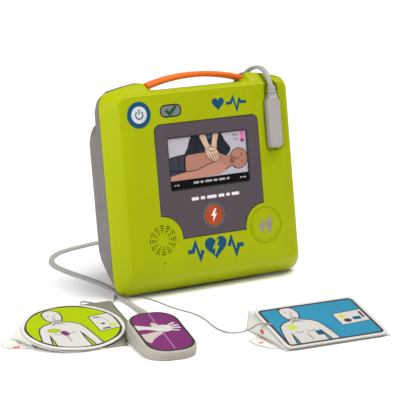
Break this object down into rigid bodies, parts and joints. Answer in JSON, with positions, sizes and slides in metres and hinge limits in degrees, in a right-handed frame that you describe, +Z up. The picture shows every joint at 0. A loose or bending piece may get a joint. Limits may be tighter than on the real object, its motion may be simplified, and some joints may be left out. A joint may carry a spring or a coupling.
{
  "type": "portable defibrillator",
  "caption": "Leaning portable defibrillator with a face screen, push buttons, an arched top handle, a battery drawer, and electrode pads with a compression sensor on a shared lead.",
  "frame": {"origin": "on the floor, under the centre of the case's own box, without its leads and electrodes", "axes": "+X towards the plug side (the case's right seen from the front), +Y from the face to the flat back, +Z up"},
  "size_m": [0.4126, 0.4684, 0.2334],
  "materials": {
    "shell_green": "satin moulded plastic",
    "shell_grey": "fine-textured moulded plastic",
    "panel_charcoal": "satin printed film",
    "grip_orange": "soft overmoulded grip",
    "rubber_black": "matt",
    "screen_glass": "clear with a dark border",
    "screen_body": "lit liquid-crystal display",
    "ring_blue": "glossy",
    "button_white": "glossy",
    "status_lens": "clear lens over a light",
    "ring_pale": "glossy translucent",
    "shock_orange": "glossy translucent",
    "plug_grey": "satin",
    "lead_grey": "satin jacket",
    "board_green": "solder-masked",
    "metal_silver": "plated",
    "metal_gold": "plated",
    "core_aluminium": "as extruded",
    "capacitor_blue": "sleeved",
    "ferrite_dark": "sintered",
    "copper_wire": "lacquered winding",
    "relay_white": "moulded",
    "battery_grey": "fine-textured",
    "latch_orange": "satin",
    "pad_green": "printed foam",
    "pad_blue": "printed foam",
    "gel_clear": "tacky gel",
    "liner_white": "translucent film",
    "sensor_purple": "printed film",
    "sensor_white": "satin"
  },
  "bodies": {
    "case": {"front_case": "shell_green", "rear_case": "shell_grey", "case_gasket": "rubber_black", "handle_grip": "grip_orange", "handle_core": "core_aluminium", "fascia_panel": "panel_charcoal", "display_window": "screen_glass", "lcd_module": "screen_body", "power_ring": "ring_blue", "status_window": "status_lens", "shock_ring": "ring_pale", "interface_board": "board_green", "button_switches": "rubber_black", "speaker": "ferrite_dark", "speaker_gasket": "rubber_black", "microphone": "metal_silver", "plug_socket": "battery_grey", "main_board": "board_green", "board_standoffs": "metal_gold", "board_screws": "metal_silver", "hv_capacitor": "capacitor_blue", "charger_transformer": "ferrite_dark", "discharge_inductor": "copper_wire", "transfer_relay": "relay_white", "clock_cell": "metal_silver", "battery_terminals": "metal_gold", "lid_pin": "metal_silver", "usb_socket": "metal_silver", "case_screws": "metal_silver", "feet": "rubber_black", "pad_plug": "plug_grey", "plug_relief": "plug_grey", "lead_upper": "lead_grey", "lead_coil": "lead_grey", "coil_tie": "rubber_black", "lead_lower": "lead_grey", "green_lead": "lead_grey", "blue_lead": "lead_grey", "sensor_top": "sensor_purple", "sensor_base": "sensor_white", "sensor_board": "board_green", "green_pad": "pad_green", "green_gel": "gel_clear", "green_liner": "liner_white", "blue_pad": "pad_blue", "blue_gel": "gel_clear", "blue_liner": "liner_white"},
    "power": {"power_button": "button_white"},
    "shock": {"shock_button": "shock_orange"},
    "child": {"child_button": "shell_green"},
    "battery": {"battery_pack": "battery_grey"},
    "latch": {"battery_latch": "latch_orange"},
    "lid": {"storage_lid": "shell_grey"},
    "port_cover": {"usb_cover": "rubber_black"}
  },
  "joints": [
    {"name": "power_press", "type": "slide", "parent": "case", "child": "power", "axis": [0, 0.9871, -0.1599], "range_m": [0, 0.0015], "stiffness_N_per_m": 400, "springref_m": -0.001},
    {"name": "shock_press", "type": "slide", "parent": "case", "child": "shock", "axis": [0, 0.9871, -0.1599], "range_m": [0, 0.002], "stiffness_N_per_m": 400, "springref_m": -0.001},
    {"name": "child_press", "type": "slide", "parent": "case", "child": "child", "axis": [0, 0.9871, -0.1599], "range_m": [0, 0.0015], "stiffness_N_per_m": 400, "springref_m": -0.001},
    {"name": "battery_slide", "type": "slide", "parent": "case", "child": "battery", "axis": [0, 1, 0], "range_m": [0, 0.06]},
    {"name": "latch_slide", "type": "slide", "parent": "battery", "child": "latch", "axis": [0, 0, -1], "range_m": [0, 0.003], "stiffness_N_per_m": 400, "springref_m": -0.001},
    {"name": "lid_hinge", "type": "hinge", "parent": "case", "child": "lid", "pos_m": [0, 0.0613, 0.1613], "axis": [1, 0, 0], "range_deg": [0, 95]},
    {"name": "port_cover_hinge", "type": "hinge", "parent": "case", "child": "port_cover", "pos_m": [0.1163, -0.00851, 0.10037], "axis": [0, 0.9871, -0.1599], "range_deg": [-100, 0]}
  ]
}
